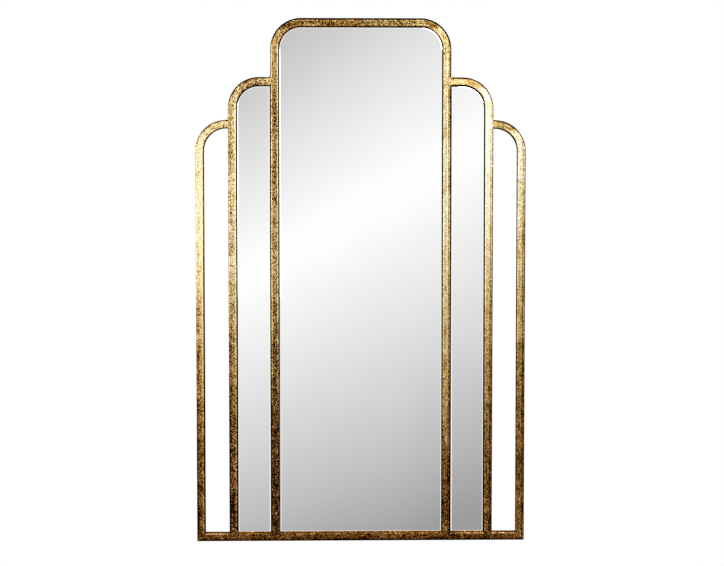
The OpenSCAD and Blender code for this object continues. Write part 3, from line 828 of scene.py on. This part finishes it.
def dress_inner_hoops():
    """The inner hoops: the left one has a painted highlight along its pane, and the right one a pale painted
    highlight high up
    """
    dress_hoop(
        "left_inner_hoop",
        [RUN_INNER_LEFT],
        {
            "outer": [LIT_EDGE],
            "inner": [PANE_EDGE],
            "top": THIN_EDGE,
            "under": LEFT_UNDER,
            "joint_top": outer_top,
            "upper": SUN_EDGE,
            "bright_foot": 0.45,
        },
        wear=[(1.3, 1.2)],
        patches=0.11,
        tints=((1.02, 0.92, 1.0), (0.99, 1.0, 0.95)),
    )
    dress_hoop(
        "right_inner_hoop",
        [RUN_INNER_RIGHT],
        {
            "outer": [ROUND_EDGE],
            "inner": [SOFT_EDGE],
            "top": THIN_EDGE,
            "under": RIGHT_UNDER,
            "joint_top": outer_top,
            "foot": (0.6, 0.5),
        },
        crown=0.30,
        wear=[(0.8, 0.4)],
        tints=((1.02, 0.92, 0.98), (0.975, 1.005, 1.03)),
        # Tint of the painted highlight high on the right
        pale=(0.97, 1.06, 1.14),
    )


def dress_outer_hoops():
    """The outer hoops: warm leaf on the left one, and on the right one paler leaf with a painted highlight
    """
    dress_hoop(
        "left_outer_hoop",
        [RUN_OUTER_LEFT],
        {
            "outer": [LIT_EDGE],
            "inner": [HIGHLIGHTED_EDGE],
            "top": THIN_EDGE,
            "under": RIGHT_UNDER,
            "upper": SUN_EDGE,
            "bright_foot": 0.45,
        },
        glaze=-0.14,
        crown=0.22,
        wear=[(1.0, 1.3)],
        patches=0.10,
        tints=((1.02, 0.90, 0.90), (1.03, 0.965, 0.80)),
    )
    dress_hoop(
        "right_outer_hoop",
        [RUN_OUTER_RIGHT],
        {
            "outer": [ROUND_EDGE],
            "inner": [SOFT_EDGE],
            "top": THIN_EDGE,
            "under": RIGHT_UNDER,
            "foot": (0.45, 0.1),
        },
        crown=0.39,
        foot_sides=0.1,
        wear=[(0.75, 0.6)],
        tints=((0.99, 0.95, 1.03), (0.97, 1.01, 1.04)),
        # Tint of the painted highlight high on the right
        pale=(0.93, 1.06, 1.22),
    )


def dress_rail():
    """The bottom rail, with the same glaze from end to end, painted shade and highlight lines along its
    edges, and side faces painted lighter
    """
    g = Gold("gold_rail")
    dress(gilded(g, [RUN_RAIL], lines=rail_lines(g), sides=-0.4), "bottom_rail")


def dress_small_parts():
    """The welds and tabs, the panes, and everything behind them"""
    dress(gilded(Gold("gold_leaf_welds"), [RUN_BACK], lumps=1.0), "joint_welds", "mitre_welds")
    dress(gilded(Gold("gold_tab_welds"), [RUN_BACK], glaze=0.1, dull=0.1, lumps=1.0), "tab_welds")
    dress(gilded(Gold("gold_tabs"), [RUN_BACK], glaze=0.1, dull=0.12), "_tabs")
    dress(mirror_glass(), "_mirror")
    dress(fibreboard(), "_backing_board")
    dress(foam(), "_foam_tape")
    dress(rubber(), "_bumper")
    dress(zinc("bright_zinc", 0.24), "_board_screws", "_hanger_screw")
    dress(zinc("satin_zinc", 0.36), "_hanger_strap", "_d_ring")


def studio_world():
    """White to the camera. Metal and glass see a soft card that is white on a slant across the room and
    greyer to both sides of it; everything else gets an even fill."""
    world = bpy.data.worlds.new("studio")
    world.use_nodes = True
    scene.world = world
    g = Graph(world.node_tree)
    out = g.add("ShaderNodeOutputWorld")
    direction = g.add("ShaderNodeSeparateXYZ")
    g.feed(direction.inputs[0], g.add("ShaderNodeTexCoord").outputs["Generated"])
    right, back, high = direction.outputs
    ahead = g.larger(g.unsigned(back), NEAREST)
    across = g.math("DIVIDE", right, ahead)
    up = g.math("DIVIDE", high, ahead)
    fan_reach = g.larger(g.minus(across, FAN_ACROSS), NEAREST)
    slope = g.math("DIVIDE", g.minus(up, FAN_UP), fan_reach, clamp=True)
    fan = g.curve(slope, [(at, linear(tone)) for at, tone in CARD])
    corner = g.times(g.span(across, *CORNER_ACROSS), g.span(up, *CORNER_UP))
    card = g.scaled(fan, g.mix(corner, PURE_WHITE, (CORNER_TONE,) * 3))
    room = g.span(up, *ROOM_BRIGHTENS, ROOM_BELOW, 1.0)
    past_sides = g.span(g.unsigned(across), *CARD_SIDES)
    past_card = g.larger(g.larger(past_sides, g.span(up, *CARD_TOP)), g.span(up, *CARD_FOOT))
    by_camera, mirrored = g.rays()
    shown = g.plus(by_camera, g.times(mirrored, g.fade(past_card, card, room)))
    plain = g.minus(1.0, g.larger(mirrored, by_camera))
    background = g.add("ShaderNodeBackground")
    g.feed(background.inputs["Color"], PURE_WHITE)
    g.feed(background.inputs["Strength"], g.plus(shown, g.times(plain, FILL)))
    g.feed(out.inputs["Surface"], background.outputs[0])


def pale_floor():
    """Material of the floor: white to the camera and to mirrors, less the object's shadow"""
    g = Finish("pale_floor")
    by_camera, mirrored = g.rays()
    away = g.math("SQRT", g.plus(g.times(g.x, g.x), g.times(g.y, g.y)))
    rim = g.span(away, *(part * FLOOR_RADIUS for part in FLOOR_RIM))
    speckle = g.noise(size=0.004)
    shade = g.plus(g.span(speckle, 0.3, 0.7, *FLOOR_TONES), g.times(rim, -FLOOR_RIM_DARKER))
    glow = g.span(rim, 0.0, 1.0, FLOOR_GLOW, WHITE_GLOW, smooth=False)
    return g.set(
        Base_Color=g.mix(shade, BLACK, PURE_WHITE),
        Roughness=0.9,
        Specular_IOR_Level=0.0,
        Emission_Color=PURE_WHITE,
        Emission_Strength=g.times(g.larger(mirrored, by_camera), glow),
    )


def floor():
    """A pale round floor well under the hung mirror, which melts into the white of the world at its rim"""
    disc = bmesh.new()
    bmesh.ops.create_circle(disc, cap_ends=True, segments=FLOOR_SEGMENTS, radius=FLOOR_RADIUS)
    piece = link_piece("floor", disc)
    piece.location = (0.0, 0.0, foot_z - FLOOR_DROP)
    piece.data.materials.append(pale_floor())


def area_lamp(name, place, aim, size, watts):
    """A square lamp turned to a point"""
    data = bpy.data.lights.new(name, "AREA")
    data.shape = "SQUARE"
    data.size = size
    data.energy = watts
    lamp = bpy.data.objects.new(name, data)
    lamp.location = place
    lamp.rotation_euler = (Vector(aim) - Vector(place)).to_track_quat("-Z", "Y").to_euler()
    scene.collection.objects.link(lamp)


def camera():
    """The camera, where the photograph was taken from"""
    data = bpy.data.cameras.new("camera")
    data.sensor_fit = "HORIZONTAL"
    data.sensor_width = SENSOR
    data.lens = SENSOR * FOCAL_PIXELS / PHOTO_WIDTH
    eye = bpy.data.objects.new("camera", data)
    eye.location = (CAMERA_RIGHT, front_y - CAMERA_BACK, foot_z + CAMERA_OVER_FOOT)
    eye.rotation_euler = (math.pi / 2 - CAMERA_DOWN, 0.0, -CAMERA_TURN)
    scene.collection.objects.link(eye)
    scene.camera = eye


dress_arch()
dress_inner_hoops()
dress_outer_hoops()
dress_rail()
dress_small_parts()
drawn_fillets()
studio_world()
floor()
area_lamp("key", KEY_PLACE, KEY_AIM, KEY_SIZE, KEY_WATTS)
area_lamp("left", LEFT_PLACE, LEFT_AIM, LEFT_SIZE, LEFT_WATTS)
camera()
scene.view_settings.view_transform = "Standard"
